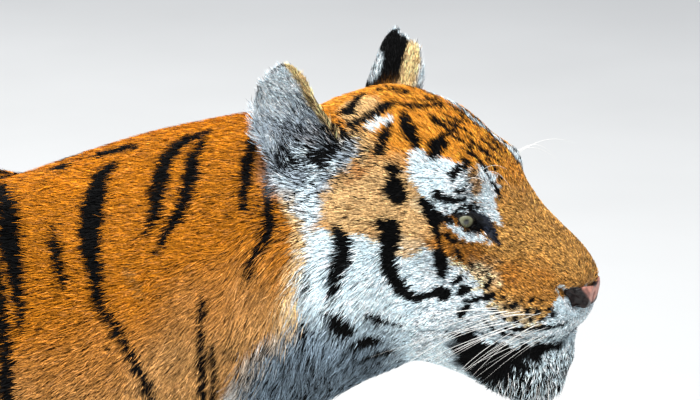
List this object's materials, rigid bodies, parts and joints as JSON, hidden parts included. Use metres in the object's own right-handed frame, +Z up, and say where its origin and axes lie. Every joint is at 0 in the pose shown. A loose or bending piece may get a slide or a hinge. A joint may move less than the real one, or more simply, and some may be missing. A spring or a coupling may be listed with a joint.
{
  "type": "bengal tiger",
  "caption": "Life-size still model of a Bengal tiger standing on all fours, its head turned to the right and its tail hanging with the tip curved up.",
  "frame": {"origin": "under the middle of the whole animal, at the level of the soles", "axes": "+X is the way the body points, +Y is the animal's left, +Z is up"},
  "size_m": [2.2864, 0.398, 1.06],
  "materials": {
    "orange_coat": "short orange fur with dark stripes",
    "buff_coat": "short buff fur",
    "white_coat": "soft white fur",
    "nose_leather": "bare pink skin, slightly moist",
    "eye": "wet and glossy, pale green-grey iris with a round dark pupil"
  },
  "bodies": {
    "root": {"trunk": "orange_coat", "neck": "orange_coat", "head": "orange_coat", "jaw": "white_coat", "tail_base": "orange_coat", "tail_middle": "orange_coat", "tail_tip": "buff_coat", "foreleg_left": "orange_coat", "foreleg_right": "orange_coat", "hindleg_left": "orange_coat", "hindleg_right": "orange_coat", "forepaw_left": "buff_coat", "forepaw_right": "buff_coat", "hindfoot_left": "buff_coat", "hindfoot_right": "buff_coat", "ear_left": "white_coat", "ear_right": "white_coat", "nose": "nose_leather", "eye_left": "eye", "eye_right": "eye"}
  },
  "joints": []
}
